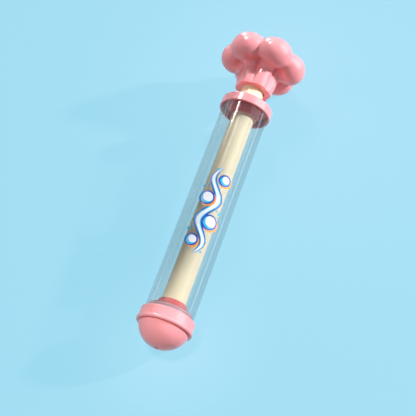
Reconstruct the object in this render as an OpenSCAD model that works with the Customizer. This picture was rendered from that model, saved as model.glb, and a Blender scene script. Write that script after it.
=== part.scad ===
// Pull-plunger water squirter: a clear barrel with a domed nozzle, a hollow push
// rod with a sealed piston, and a six-petal knob. Millimetres. The toy lies on
// its side: its axis is +Y, +Z is up, and the origin is the mouth of the jet hole.

/* [Barrel] */
// Outer diameter of the clear barrel tube
tube_d = 46; // [40:0.5:54]
// Wall of the barrel tube
tube_wall = 2; // [1.4:0.1:2.6]
// Length of the barrel tube
tube_len = 231; // [160:0.5:320]

/* [Printed film] */
// Length of the printed film along the barrel
film_len = 90; // [40:1:110]
// Width of the film, measured round the barrel
film_width = 30; // [16:1:40]
// Thickness of the film
film_thick = 0.15; // [0.1:0.05:0.3]
// Distance from the nozzle band to the front edge of the film
film_from = 56; // [20:1:80]
// Turn of the middle of the film away from straight up
film_turn = 15; // [0:1:45]

/* [Rear collar] */
// Height of the rear collar
collar_h = 9.2; // [6:0.1:14]
// Wall of the collar round the tube
collar_wall = 2.25; // [1.5:0.05:3.5]
// Thickness of the collar's end web
collar_web = 2.5; // [1.5:0.1:4]
// Wall of the guide sleeve round the rod
guide_wall = 1.7; // [1.2:0.1:2.4]
// How far the guide sleeve reaches past the collar's front rim
guide_drop = 4.8; // [2:0.1:10]
// Width of the guide's flange under the web
guide_flange_w = 2.8; // [1.5:0.1:4]
// Thickness of the guide's flange
guide_flange_h = 1.5; // [1:0.1:2.5]

/* [Nozzle] */
// Wall of the nozzle band round the tube
band_wall = 2.4; // [1.8:0.1:3.5]
// Height of the nozzle band, bead included
band_h = 12.6; // [11.5:0.1:18]
// Diameter of the half-round bead at the front of the band
bead_d = 4; // [2:0.1:4]
// How far the bead stands out from the band
bead_proud = 1; // [0.4:0.05:1.2]
// Step in from the band to the dome's widest girth
dome_inset = 1.1; // [0.6:0.1:1.6]
// How far in front of its widest girth the dome is cut off
dome_cut = 5.6; // [3:0.1:8]
// Width of the dome's rim round its spigot
dome_lip = 1.2; // [0.8:0.1:1.6]
// Wall of the dome
dome_wall = 2.5; // [1.6:0.1:3.5]
// Thickness of the bulkhead between dome and barrel
bulkhead_h = 2.5; // [1.5:0.1:4]
// Diameter of the water way through the bulkhead
waterway_d = 14; // [12.5:0.5:20]
// Length of the dome's spigot inside the band
spigot_len = 4; // [2.5:0.1:5]
// Wall of the dome's spigot
spigot_wall = 2; // [1.4:0.1:3]
// Diameter of the jet hole
jet_d = 2.5; // [1.5:0.1:4]
// Diameter of the flat round the jet hole
tip_flat_d = 5; // [4.5:0.1:5.8]
// Diameter of the jet insert's stem
jet_stem_d = 6; // [5.9:0.1:8]
// Length of the jet insert's stem
jet_stem_len = 6; // [5:0.5:9]
// Diameter of the jet insert's inner flange
jet_flange_d = 10; // [8.5:0.5:13]
// Thickness of the jet insert's inner flange
jet_flange_h = 2; // [1:0.1:3]
// Wall of the dome's boss round the jet insert
jet_boss_wall = 3; // [2:0.1:4]

/* [Gaskets] */
// Thickness of the gasket under the front end of the tube
gasket_h = 1.5; // [0.8:0.1:2.5]
// Thickness of the ring seal behind the dome's spigot
dome_seal_h = 1; // [0.6:0.1:1.6]

/* [Piston] */
// Thickness of the front retainer plate
retainer_h = 3.2; // [2.5:0.1:5]
// Width of the piston seal along the axis
seal_h = 6.5; // [4:0.1:9]
// Radial depth of the piston seal
seal_depth = 4.9; // [3:0.1:5.5]
// Depth of the waist between the two lips of the seal
seal_waist = 0.5; // [0.2:0.1:1]
// Thickness of the rim of the rear flange
flange_h = 1.5; // [1:0.1:3]
// Width of the sloping shoulder inside the flange's rim
shoulder_w = 3; // [1:0.1:3.4]
// Height of the sloping shoulder
shoulder_h = 1.2; // [0.6:0.1:1.4]
// Wall of the hub at its rear lip
hub_wall = 1.9; // [1.2:0.1:2.4]
// Extra wall of the hub at its root
hub_flare = 2.3; // [0.5:0.1:2.4]
// Height of the hub behind the flange
hub_h = 6.2; // [3:0.1:12]
// Thickness of the piston's floor under the rod
piston_floor = 3.5; // [2:0.1:6]

/* [Rod] */
// Outer diameter of the push rod
rod_d = 22.4; // [20:0.2:23.6]
// Wall of the push rod
rod_wall = 1.8; // [1.2:0.1:3]
// Length of the rod that shows between collar and knob with the plunger in
rod_show = 17.4; // [8:0.1:40]
// Length of the plugs in the rod's ends
plug_len = 16; // [13:0.5:30]

/* [Knob] */
// Number of petals
petals = 6; // [5:1:8]
// Radius of a petal's section through its middle
petal_r = 14.2; // [12.5:0.1:16]
// Radius of the section at the crease between two petals
crease_r = 10.9; // [7:0.1:12]
// Radius of the petals' underside at the crease
crease_under = 9; // [4:0.1:11]
// Radius of the ring on which the petals sit
petal_ring_r = 29; // [27:0.1:33]
// Height of the petals' middle above the skirt's rim
petal_rise = 34.3; // [30:0.1:45]
// Angle over which the crease between petals is rounded
crease_soft = 2; // [1:0.5:6]
// Radius of the skirt's rim at its flutes
skirt_r = 18; // [17.6:0.1:20]
// Depth of the scallops in the skirt's rim
skirt_dip = 1.6; // [0.4:0.1:1.8]
// Radius of the neck under the petals
neck_r = 20; // [19:0.1:21.5]
// Depth of the flutes in the neck
neck_dip = 3.4; // [0.4:0.1:3.6]
// Radius of the fillet between neck and petals
neck_fillet = 5; // [2:0.1:7]
// Wall of the knob's shells
knob_wall = 2.2; // [1.4:0.1:2.6]
// Thickness of the skirt's floor
knob_floor = 2.5; // [1.5:0.1:4]
// Drop of the top dish below the creases
dish_drop = 1.5; // [0.5:0.1:2.5]
// Radius of the fillet round the top dish
dish_fillet = 3; // [1.5:0.1:4]
// Wall of the sleeve that grips the rod
sleeve_wall = 2.4; // [1.5:0.1:2.5]
// Thickness of the sleeve's end wall
sleeve_end = 3; // [2:0.1:5]
// Diameter of the hole for the cap button
button_hole_d = 20; // [16:0.5:22]
// Width of the cap button's lip round its hole
button_lip = 2.5; // [1.5:0.1:3]
// Height of the cap button's crown
button_rise = 3; // [2.5:0.1:5]
// Wall of the cap button
button_wall = 1.5; // [1:0.1:2]

/* [Screws] */
// Diameter of the screws
screw_d = 3.4; // [2.6:0.1:4]
// Diameter of the screw heads
head_d = 7; // [5.6:0.1:8]
// Height of the screw heads
head_h = 2.2; // [1.6:0.1:2.6]
// Length of the screws under the head
screw_len = 16; // [12:0.5:20]
// Length of the cross slot in the heads
slot_len = 4.2; // [3:0.1:5]
// Width of the cross slot
slot_w = 1; // [0.6:0.1:1.4]
// Outer diameter of the sealing washer
washer_d = 10; // [8.5:0.5:11.5]
// Thickness of the sealing washer
washer_h = 0.8; // [0.5:0.1:1.2]

/* [Clearances] */
// Radial gap between pieces that are pressed or glued together
fit_gap = 0.1; // [0.05:0.05:0.2]
// Radial gap between sliding pieces
slide_gap = 0.3; // [0.2:0.05:0.5]
// Radial and end gap round the piston seal
seal_gap = 0.1; // [0.05:0.05:0.15]
// Gap between piston and bulkhead with the plunger in
rest_gap = 0.3; // [0.2:0.1:1]
// Gap round a screw in a clearance hole
screw_gap = 0.2; // [0.1:0.05:0.3]
// Gap between the rod and the hole in the skirt's floor
mouth_gap = 0.4; // [0.2:0.1:1]
// Chamfer on the edges of the turned pieces
edge = 0.6; // [0.3:0.1:0.9]

/* [Hidden] */

pink = "#f29aa4";
clear = [0.80, 0.91, 0.96, 0.35];
cream = "#f1e3bd";
mauve = "#8d7480";
steel = "#b9bec4";
film = [1, 1, 1, 0.4];

// Radii of the barrel and of what it carries
tube_ro = tube_d / 2;
tube_ri = tube_ro - tube_wall;
socket_r = tube_ro + fit_gap;
collar_r = socket_r + collar_wall;
band_r = socket_r + band_wall;
dome_r = band_r - dome_inset;
dome_ri = dome_r - dome_wall;
dome_rim_r = sqrt(dome_r * dome_r - dome_cut * dome_cut);
spigot_ro = dome_rim_r - dome_lip;
recess_r = spigot_ro + fit_gap;
rod_r = rod_d / 2;
rod_ri = rod_r - rod_wall;
plug_r = rod_ri - fit_gap;
grip_r = rod_r + fit_gap;
guide_ri = rod_r + slide_gap;
guide_ro = guide_ri + guide_wall;
land_r = tube_ri - slide_gap;
seal_ro = tube_ri - seal_gap;
seal_ri = seal_ro - seal_depth;
core_r = seal_ri - seal_gap;
hub_r = grip_r + hub_wall;
screw_r = screw_d / 2;
screw_hole_r = screw_r + screw_gap;
pilot_r = screw_r + fit_gap / 2;
head_r = head_d / 2;
jet_r = jet_d / 2;
jet_stem_r = jet_stem_d / 2;
jet_boss_r = jet_stem_r + fit_gap + jet_boss_wall;
button_hole_r = button_hole_d / 2;

// Places along the axis, from the jet hole to the knob
tip_flat_r = tip_flat_d / 2;
dome_mid = sqrt(dome_r * dome_r - tip_flat_r * tip_flat_r);
band_front = dome_mid - dome_cut;
band_rear = band_front + band_h;
spigot_rear = band_front + spigot_len;
bulkhead_front = spigot_rear + dome_seal_h;
bulkhead_rear = bulkhead_front + bulkhead_h;
tube_front = bulkhead_rear + gasket_h;
tube_rear = tube_front + tube_len;
collar_rear = tube_rear + collar_web;
collar_front = collar_rear - collar_h;
guide_front = collar_front - guide_drop;
retainer_front = bulkhead_rear + rest_gap;
retainer_rear = retainer_front + retainer_h;
flange_front = retainer_rear + seal_h + 2 * seal_gap;
flange_rear = flange_front + flange_h;
hub_rear = flange_rear + hub_h;
rod_front = retainer_rear + piston_floor;
washer_front = retainer_front - washer_h;
knob_front = collar_rear + rod_show;
petal_mid = knob_front + petal_rise;
dish_y = petal_mid + crease_r - dish_drop;
sleeve_front = knob_front + knob_floor;
sleeve_rear = dish_y - knob_wall - fit_gap;
rod_rear = sleeve_rear - sleeve_end;
film_front = band_rear + film_from;

// Smoothness of the round pieces, of the petals and of their sections
round_fn = 96;
petal_steps = 10;
neck_steps = 3;
fillet_steps = 4;
arc_steps = 8;
over = 1;

// Turns the local +Z of a shape to the toy's axis, +Y
module along_axis() {
    rotate([-90, 0, 0]) children();
}

// A turned piece from an outline of [radius, place along the axis] points
module turned(outline) {
    along_axis() rotate_extrude($fn = round_fn) polygon(outline);
}

// A plain ring from one place along the axis to another
module ring(outer, inner, from, to) {
    turned([[inner, from], [outer, from], [outer, to], [inner, to]]);
}

// A round bar along the axis
module bar(radius, from, to) {
    along_axis() translate([0, 0, from]) cylinder(r = radius, h = to - from, $fn = round_fn);
}

// A ball centred on the axis
module ball(radius, middle) {
    along_axis() translate([0, 0, middle]) sphere(r = radius, $fn = round_fn);
}

// Angle of a direction from the nearest petal's middle, eased at the creases
function petal_off(a) =
    let (
        step = 360 / petals,
        half = step / 2,
        e = half - abs(a - step * round(a / step)),
        far = sqrt(half * half + crease_soft * crease_soft),
        eased = far - sqrt(e * e + crease_soft * crease_soft)
    ) half * eased / (far - crease_soft);

// How far a direction is from crease to petal middle: 0 in the crease, 1 on the petal
function petal_share(a) = 1 - pow(sin(petal_off(a)) / sin(180 / petals), 2);

// Radius of a section in a direction, from its radius in the crease to the petal's
function section_r(a, at_crease) =
    sqrt(at_crease * at_crease + (petal_r * petal_r - at_crease * at_crease) * petal_share(a));

// Radius and centre of the petals' upper half in a direction
function bulge(a) = section_r(a, crease_r);
function bulge_mid(a) = petal_ring_r * cos(petal_off(a));

// Radius and centre of the petals' underside, which meets the upper half at its girth
function under(a) = section_r(a, crease_under);
function under_mid(a) = bulge_mid(a) + bulge(a) - under(a);

// Radius of the fluted neck and of the scalloped rim in a direction
function neck_at(a) = neck_r - neck_dip * (1 - petal_share(a));
function rim_at(a) = skirt_r - skirt_dip * (1 - petal_share(a));

// Points of an arc in the half-plane of one direction
function arc(mid, radius, from, to, steps) = [
    for (k = [0 : steps])
        let (t = from + (to - from) * k / steps)
        mid + radius * [cos(t), sin(t)]
];

// Section of the lower shell, from the rim up the neck and round to the petals'
// middle, moved inwards by wall
function lower_section(a, wall, start) =
    let (
        mid = [under_mid(a), petal_mid],
        b = under(a) - wall,
        f = neck_fillet + wall,
        n = neck_at(a) - wall,
        rim = rim_at(a) - wall,
        reach = mid.x - n - f,
        fillet_mid = [n + f, petal_mid - sqrt((b + f) * (b + f) - reach * reach)],
        turn = atan2(fillet_mid.y - mid.y, fillet_mid.x - mid.x)
    )
    concat(
        [for (k = [0 : neck_steps - 1])
            let (u = k / neck_steps)
            [n - (n - rim) * (1 - u) * (1 - u), start + u * (fillet_mid.y - start)]],
        arc(fillet_mid, f, 180, turn + 180, fillet_steps),
        [for (k = [1 : arc_steps])
            let (t = turn * (1 - k / arc_steps))
            mid + b * [cos(t), sin(t)]]
    );

// Section of the upper shell, from the petals' middle over the top to the dish,
// moved inwards by wall
function upper_section(a, wall) =
    let (
        mid = [bulge_mid(a), petal_mid],
        b = bulge(a) - wall,
        f = dish_fillet + wall,
        rise = dish_y + dish_fillet - petal_mid,
        fillet_mid = [mid.x - sqrt((b + f) * (b + f) - rise * rise), petal_mid + rise],
        turn = atan2(rise, fillet_mid.x - mid.x)
    )
    concat(
        arc(mid, b, 0, turn, arc_steps),
        [for (k = [1 : fillet_steps])
            let (t = (turn - 180) + (90 - turn) * k / fillet_steps)
            fillet_mid + f * [cos(t), sin(t)]]
    );

function reversed(list) = [for (k = [len(list) - 1 : -1 : 0]) list[k]];

// Closed sections of the two shells in a direction
function skirt_loop(a) =
    concat(
        lower_section(a, 0, knob_front),
        reversed(lower_section(a, knob_wall, sleeve_front)),
        [[rod_r + mouth_gap, sleeve_front], [rod_r + mouth_gap, knob_front]]
    );
function crown_loop(a) =
    concat(
        upper_section(a, 0),
        [[button_hole_r, dish_y], [button_hole_r, dish_y - knob_wall]],
        reversed(upper_section(a, knob_wall))
    );

// A closed shell from one section loop per direction round the axis
module petal_shell(loops) {
    n = len(loops);
    m = len(loops[0]);
    points = [
        for (i = [0 : n - 1], p = loops[i])
            [p.x * cos(360 * i / n), p.x * sin(360 * i / n), p.y]
    ];
    faces = [
        for (i = [0 : n - 1], j = [0 : m - 1])
            let (i2 = (i + 1) % n, j2 = (j + 1) % m)
            each [
                [i * m + j, i * m + j2, i2 * m + j2],
                [i * m + j, i2 * m + j2, i2 * m + j]
            ]
    ];
    along_axis() polyhedron(points = points, faces = faces, convexity = 8);
}

// Directions round the axis at which the petal shells are sectioned
directions = [for (i = [0 : petals * petal_steps - 1]) 360 * i / (petals * petal_steps)];

// Clear barrel

module barrel_tube() {
    color(clear) ring(tube_ro, tube_ri, tube_front, tube_rear);
}

module barrel_print() {
    half = film_width / tube_ro * 90 / PI;
    inner = tube_ro + fit_gap / 2;
    color(film) rotate([0, film_turn + 90, 0]) along_axis()
        translate([0, 0, film_front])
        rotate([0, 0, 180 - half])
        rotate_extrude(angle = 2 * half, $fn = round_fn)
        translate([inner, 0]) square([film_thick, film_len]);
}

module rear_collar() {
    color(pink) turned([
        [socket_r, collar_front], [collar_r - edge, collar_front],
        [collar_r, collar_front + edge], [collar_r, collar_rear - edge],
        [collar_r - edge, collar_rear], [guide_ro + fit_gap, collar_rear],
        [guide_ro + fit_gap, tube_rear], [socket_r, tube_rear]
    ]);
}

module rod_guide() {
    flange_r = guide_ro + guide_flange_w;
    color(pink) turned([
        [guide_ri, guide_front], [guide_ro - edge, guide_front], [guide_ro, guide_front + edge],
        [guide_ro, tube_rear - guide_flange_h], [flange_r, tube_rear - guide_flange_h],
        [flange_r, tube_rear], [guide_ro, tube_rear],
        [guide_ro, collar_rear], [guide_ri, collar_rear]
    ]);
}

// Nozzle

module nozzle_collar() {
    color(pink) difference() {
        union() {
            turned([
                [waterway_d / 2, bulkhead_front], [recess_r, bulkhead_front],
                [recess_r, band_front + bead_d / 2], [band_r, band_front + bead_d / 2],
                [band_r, band_rear - edge], [band_r - edge, band_rear],
                [socket_r, band_rear], [socket_r, bulkhead_rear],
                [waterway_d / 2, bulkhead_rear]
            ]);
            ring(band_r + bead_proud - bead_d / 2, recess_r, band_front, bulkhead_front);
            along_axis() rotate_extrude($fn = round_fn)
                translate([band_r + bead_proud - bead_d / 2, band_front + bead_d / 2])
                circle(d = bead_d, $fn = round_fn);
        }
        bar(recess_r, band_front - over, bulkhead_front);
    }
}

module nozzle_dome() {
    boss_rear = jet_stem_len;
    color(pink) difference() {
        union() {
            difference() {
                intersection() {
                    ball(dome_r, dome_mid);
                    bar(dome_r, 0, band_front);
                }
                ball(dome_ri, dome_mid);
            }
            ring(spigot_ro, spigot_ro - spigot_wall, band_front - dome_wall, spigot_rear);
            intersection() {
                ball(dome_r - dome_wall / 2, dome_mid);
                bar(jet_boss_r, 0, boss_rear);
            }
        }
        bar(jet_stem_r + fit_gap, -over, boss_rear + over);
    }
}

module jet_insert() {
    flange_rear = jet_stem_len + jet_flange_h;
    color(pink) difference() {
        union() {
            intersection() {
                ball(dome_r, dome_mid);
                bar(jet_stem_r, 0, jet_stem_len + jet_flange_h / 2);
            }
            bar(jet_flange_d / 2, jet_stem_len, flange_rear);
        }
        bar(jet_r, -over, flange_rear + over);
    }
}

// Seals between the fixed pieces

module tube_gasket() {
    color(mauve) ring(tube_ro, tube_ri, bulkhead_rear, tube_front);
}

module dome_seal() {
    color(mauve) ring(spigot_ro, spigot_ro - spigot_wall, spigot_rear, bulkhead_front);
}

// Piston

module piston_seal() {
    front = retainer_rear + seal_gap;
    rear = front + seal_h;
    lip = seal_h / 4;
    waist_r = seal_ro - seal_waist;
    color(mauve) turned([
        [seal_ri, front], [seal_ro, front], [seal_ro, front + lip],
        [waist_r, front + lip + seal_waist], [waist_r, rear - lip - seal_waist],
        [seal_ro, rear - lip], [seal_ro, rear], [seal_ri, rear]
    ]);
}

module piston_hub() {
    color(pink) turned([
        [screw_hole_r, retainer_rear], [core_r, retainer_rear], [core_r, flange_front],
        [land_r, flange_front], [land_r, flange_rear - shoulder_h],
        [land_r - shoulder_w, flange_rear], [hub_r + hub_flare, flange_rear],
        [hub_r, hub_rear], [grip_r, hub_rear], [grip_r, rod_front], [screw_hole_r, rod_front]
    ]);
}

module piston_retainer() {
    color(pink) turned([
        [screw_hole_r, retainer_front], [land_r - edge, retainer_front],
        [land_r, retainer_front + edge], [land_r, retainer_rear], [screw_hole_r, retainer_rear]
    ]);
}

// A cross-slot screw with its head's underside at a place on the axis; it points
// to the rear for way = 1 and to the front for way = -1
module screw(seat, way) {
    slot_depth = head_h / 2;
    along_axis() translate([0, 0, seat]) mirror([0, 0, way > 0 ? 0 : 1]) difference() {
        union() {
            translate([0, 0, -head_h]) cylinder(r = head_r, h = head_h, $fn = round_fn);
            translate([0, 0, -head_h / 2])
                cylinder(r = screw_r, h = screw_len + head_h / 2, $fn = round_fn);
        }
        for (turn = [0, 90])
            rotate([0, 0, turn])
            translate([-slot_len / 2, -slot_w / 2, -head_h - over])
            cube([slot_len, slot_w, slot_depth + over]);
    }
}

module piston_screw() {
    color(steel) screw(washer_front, 1);
}

module piston_washer() {
    color(mauve) ring(washer_d / 2, screw_hole_r, washer_front, retainer_front);
}

// Rod

module push_rod() {
    color(cream) ring(rod_r, rod_ri, rod_front, rod_rear);
}

module rod_front_plug() {
    color(cream) ring(plug_r, pilot_r, rod_front, rod_front + plug_len);
}

module rod_rear_plug() {
    color(cream) ring(plug_r, pilot_r, rod_rear - plug_len, rod_rear);
}

// Knob

module knob_skirt() {
    color(pink) petal_shell([for (a = directions) skirt_loop(a)]);
}

module knob_crown() {
    color(pink) petal_shell([for (a = directions) crown_loop(a)]);
}

module knob_sleeve() {
    color(pink) turned([
        [grip_r, sleeve_front], [grip_r + sleeve_wall, sleeve_front],
        [grip_r + sleeve_wall, sleeve_rear], [screw_hole_r, sleeve_rear],
        [screw_hole_r, rod_rear], [grip_r, rod_rear]
    ]);
}

module knob_screw() {
    color(steel) screw(sleeve_rear, -1);
}

module knob_button() {
    stem_r = button_hole_r - fit_gap;
    cap_r = button_hole_r + button_lip;
    crown_r = (cap_r * cap_r + button_rise * button_rise) / (2 * button_rise);
    color(pink) difference() {
        union() {
            intersection() {
                ball(crown_r, dish_y + button_rise - crown_r);
                bar(cap_r, dish_y, dish_y + button_rise + over);
            }
            bar(stem_r, dish_y - knob_wall, dish_y + button_rise / 4);
        }
        bar(stem_r - button_wall, dish_y - knob_wall - over, dish_y + button_rise - button_wall);
    }
}

barrel_tube();
barrel_print();
rear_collar();
rod_guide();
nozzle_collar();
nozzle_dome();
jet_insert();
tube_gasket();
dome_seal();
piston_seal();
push_rod();
rod_front_plug();
rod_rear_plug();
piston_hub();
piston_retainer();
piston_screw();
piston_washer();
knob_skirt();
knob_crown();
knob_sleeve();
knob_screw();
knob_button();
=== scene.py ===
"""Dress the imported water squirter: smooth moulded pieces, finishes, floor, lamps and camera."""

import logging
import math
from dataclasses import dataclass, field
from enum import Enum
from typing import Any

import bpy
import numpy as np
from mathutils import Matrix, Vector


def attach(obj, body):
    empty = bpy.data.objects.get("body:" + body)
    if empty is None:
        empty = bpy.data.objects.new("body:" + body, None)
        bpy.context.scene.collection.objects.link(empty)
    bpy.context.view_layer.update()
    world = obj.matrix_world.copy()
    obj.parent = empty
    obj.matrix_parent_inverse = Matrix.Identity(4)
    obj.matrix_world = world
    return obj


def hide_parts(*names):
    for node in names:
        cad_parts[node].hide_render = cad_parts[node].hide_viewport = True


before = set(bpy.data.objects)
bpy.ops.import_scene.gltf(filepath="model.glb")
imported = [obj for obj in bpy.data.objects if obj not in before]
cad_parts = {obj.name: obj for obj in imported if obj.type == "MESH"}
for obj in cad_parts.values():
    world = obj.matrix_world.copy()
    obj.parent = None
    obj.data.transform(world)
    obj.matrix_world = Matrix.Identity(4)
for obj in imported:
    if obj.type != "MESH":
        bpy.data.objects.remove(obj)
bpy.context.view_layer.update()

LOG = logging.getLogger("squirter")
MM = 0.001

# Sockets of a Mix node that blends colours.
MIX_FACTOR, MIX_FIRST, MIX_SECOND, MIX_RESULT = 0, 6, 7, 2

# Edge roundings that many pieces share, in millimetres.
CRISP, FINE, EDGE, LIP, SOFT = 0.1, 0.2, 0.3, 0.4, 0.6

# Straight stubs beside a rounded corner: their share of its rounding, and of the side at most.
STUB, STUB_MOST = 0.25, 0.2

# Guards of the outline maths: least length, least turn, and the gap under which two points are one.
LEAST_RUN, LEAST_TURN, ONE_POINT = 1e-9, 1e-6, 1e-4

# A point of a cap's outline is a pole up to this radius. The lean picks the pole furthest along the axis.
ON_AXIS, POLE_LEAN = 1e-6, 1e-3

Array = np.ndarray
Colour = tuple[float, float, float]
Corners = np.ndarray | list[tuple[float, float, float]]


class Body(Enum):
    """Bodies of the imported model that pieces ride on."""

    BARREL = "barrel"
    SEAL = "seal"
    PLUNGER = "plunger"


class Slot(Enum):
    """Material slots of the record."""

    PINK = "pink_plastic"
    CLEAR = "clear_plastic"
    CREAM = "cream_plastic"
    RUBBER = "seal_rubber"


# Shader graphs


class Wire:
    """A socket of a shader graph that takes part in Python arithmetic."""

    def __init__(self, graph: "Graph", socket: bpy.types.NodeSocket) -> None:
        """Keep the graph and its output socket."""
        self.graph = graph
        self.socket = socket

    def math(self, operation: str, *others: Any) -> "Wire":
        """Add a Math node whose first value is this wire."""
        values = dict(enumerate((self, *others)))
        return self.graph.out("ShaderNodeMath", {"operation": operation}, values)

    def _from(self, operation: str, first: Any) -> "Wire":
        """Add a Math node whose second value is this wire."""
        return self.graph.out("ShaderNodeMath", {"operation": operation}, {0: first, 1: self})

    def __add__(self, other: Any) -> "Wire":
        """Sum."""
        return self.math("ADD", other)

    def __radd__(self, other: Any) -> "Wire":
        """Sum with a number on the left."""
        return self.math("ADD", other)

    def __sub__(self, other: Any) -> "Wire":
        """Difference."""
        return self.math("SUBTRACT", other)

    def __rsub__(self, other: Any) -> "Wire":
        """Difference with a number on the left."""
        return self._from("SUBTRACT", other)

    def __mul__(self, other: Any) -> "Wire":
        """Product."""
        return self.math("MULTIPLY", other)

    def __rmul__(self, other: Any) -> "Wire":
        """Product with a number on the left."""
        return self.math("MULTIPLY", other)

    def __truediv__(self, other: Any) -> "Wire":
        """Quotient."""
        return self.math("DIVIDE", other)

    def __rtruediv__(self, other: Any) -> "Wire":
        """Quotient with a number on the left."""
        return self._from("DIVIDE", other)

    def __pow__(self, other: Any) -> "Wire":
        """Power."""
        return self.math("POWER", other)

    def hypot(self, other: "Wire") -> "Wire":
        """Root of the sum of two squares."""
        return (self * self + other * other).math("SQRT")

    def under(self, edge: Any, soft: float) -> "Wire":
        """Mask that is 1 below an edge and 0 above it.

        Args:
            edge: Value or wire at which the mask is one half.
            soft: Half the width of the smooth step.

        Returns:
            The mask.
        """
        return self.graph.out(
            "ShaderNodeMapRange",
            {"interpolation_type": "SMOOTHSTEP"},
            {"Value": self - edge, "From Min": -soft, "From Max": soft, "To Min": 1.0, "To Max": 0.0},
        )


class Graph:
    """A node tree that is written as expressions."""

    def __init__(self, tree: bpy.types.NodeTree, output: str) -> None:
        """Empty a node tree and give it its output node.

        Args:
            tree: The material's or world's node tree.
            output: Type of the output node.
        """
        self.tree = tree
        tree.nodes.clear()
        self.output = tree.nodes.new(output)

    def node(self, kind: str, settings: dict[str, Any], inputs: dict[Any, Any]) -> bpy.types.Node:
        """Add a node, set it, and then fill its sockets.

        Args:
            kind: The node's type.
            settings: Its properties.
            inputs: Values or wires by socket name or number.

        Returns:
            The node.
        """
        made = self.tree.nodes.new(kind)
        for key, value in settings.items():
            setattr(made, key, value)
        for key, value in inputs.items():
            if isinstance(value, Wire):
                self.tree.links.new(value.socket, made.inputs[key])
            else:
                made.inputs[key].default_value = value
        return made

    def out(self, kind: str, settings: dict[str, Any], inputs: dict[Any, Any], output: Any = 0) -> Wire:
        """Add a node and return one of its outputs as a wire."""
        return Wire(self, self.node(kind, settings, inputs).outputs[output])

    def principled(self, inputs: dict[str, Any]) -> Wire:
        """A Principled shader with these inputs."""
        return self.out("ShaderNodeBsdfPrincipled", {}, inputs)

    def place(self) -> Wire:
        """Object coordinates, in metres in the shared frame."""
        return self.out("ShaderNodeTexCoord", {}, {}, "Object")

    def parts(self, vector: Wire) -> tuple[Wire, Wire, Wire]:
        """The three components of a vector."""
        split = self.node("ShaderNodeSeparateXYZ", {}, {0: vector})
        return tuple(Wire(self, socket) for socket in split.outputs)

    def stretched(self, vector: Wire, scale: tuple[float, float, float]) -> Wire:
        """A vector with each component multiplied by its own number."""
        return self.out("ShaderNodeVectorMath", {"operation": "MULTIPLY"}, {0: vector, 1: scale})

    def noise(self, vector: Wire, scale: float, detail: float = 2.0) -> Wire:
        """Smooth noise between 0 and 1."""
        return self.out("ShaderNodeTexNoise", {}, {"Vector": vector, "Scale": scale, "Detail": detail})

    def blend(self, factor: Any, first: Any, second: Any) -> Wire:
        """Mix two colours; the factor gives the second one's share."""
        inputs = {MIX_FACTOR: factor, MIX_FIRST: self._rgba(first), MIX_SECOND: self._rgba(second)}
        return self.out("ShaderNodeMix", {"data_type": "RGBA"}, inputs, MIX_RESULT)

    @staticmethod
    def _rgba(colour: Any) -> Any:
        """A colour with its alpha, or a wire as it is."""
        return colour if isinstance(colour, Wire) else (*colour, 1.0)

    def bump(self, height: Wire, strength: float, depth: float) -> Wire:
        """Normal that follows a height pattern of a given depth in metres."""
        inputs = {"Strength": strength, "Distance": depth, "Height": height}
        return self.out("ShaderNodeBump", {}, inputs, "Normal")

    def in_sight(self) -> Wire:
        """Find where the camera sees a surface, straight, mirrored or through something clear.

        Returns:
            1 for such rays and 0 for all others.
        """
        path = self.node("ShaderNodeLightPath", {}, {})
        rays = [Wire(self, path.outputs[f"Is {kind} Ray"]) for kind in ("Camera", "Glossy", "Transmission")]
        return rays[0].math("MAXIMUM", rays[1]).math("MAXIMUM", rays[2])

    def finish(self, shader: Wire) -> None:
        """Link a shader to the output."""
        self.tree.links.new(shader.socket, self.output.inputs["Surface"])


# Finishes. Noise scales are waves per metre, depths are metres.


class Finish:
    """A material that is made once and shared by its pieces."""

    name: str

    def material(self) -> bpy.types.Material:
        """Give the finish's material, and make it at its first use.

        Returns:
            The material.
        """
        made = bpy.data.materials.get(self.name)
        if made is None:
            made = bpy.data.materials.new(self.name)
            made.use_nodes = True
            self.paint(Graph(made.node_tree, "ShaderNodeOutputMaterial"))
        return made

    def paint(self, graph: Graph) -> None:
        """Write the finish's nodes."""
        raise NotImplementedError


@dataclass(frozen=True)
class MouldedPlastic(Finish):
    """Coloured injection-moulded plastic: slow tone drift, fine orange peel, a clear sheen on top."""

    name: str
    colour: Colour
    drift: Colour
    roughness: float
    gloss: float
    flow_scale: float = 38.0
    flow_detail: float = 3.0
    flow_rough: float = 0.08
    peel_scale: float = 900.0
    peel_strength: float = 0.05
    peel_depth: float = 0.00003
    specular: float = 0.25
    sheen_rough: float = 0.07

    def paint(self, graph: Graph) -> None:
        """Write the finish's nodes.

        Args:
            graph: The material's graph.
        """
        place = graph.place()
        flow = graph.noise(place, self.flow_scale, self.flow_detail)
        peel = graph.noise(place, self.peel_scale)
        graph.finish(graph.principled({
            "Base Color": graph.blend(flow, self.colour, self.drift),
            "Roughness": self.roughness + self.flow_rough * flow,
            "Specular IOR Level": self.specular,
            "Coat Weight": self.gloss,
            "Coat Roughness": self.sheen_rough,
            "Normal": graph.bump(peel, self.peel_strength, self.peel_depth),
        }))


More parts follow.
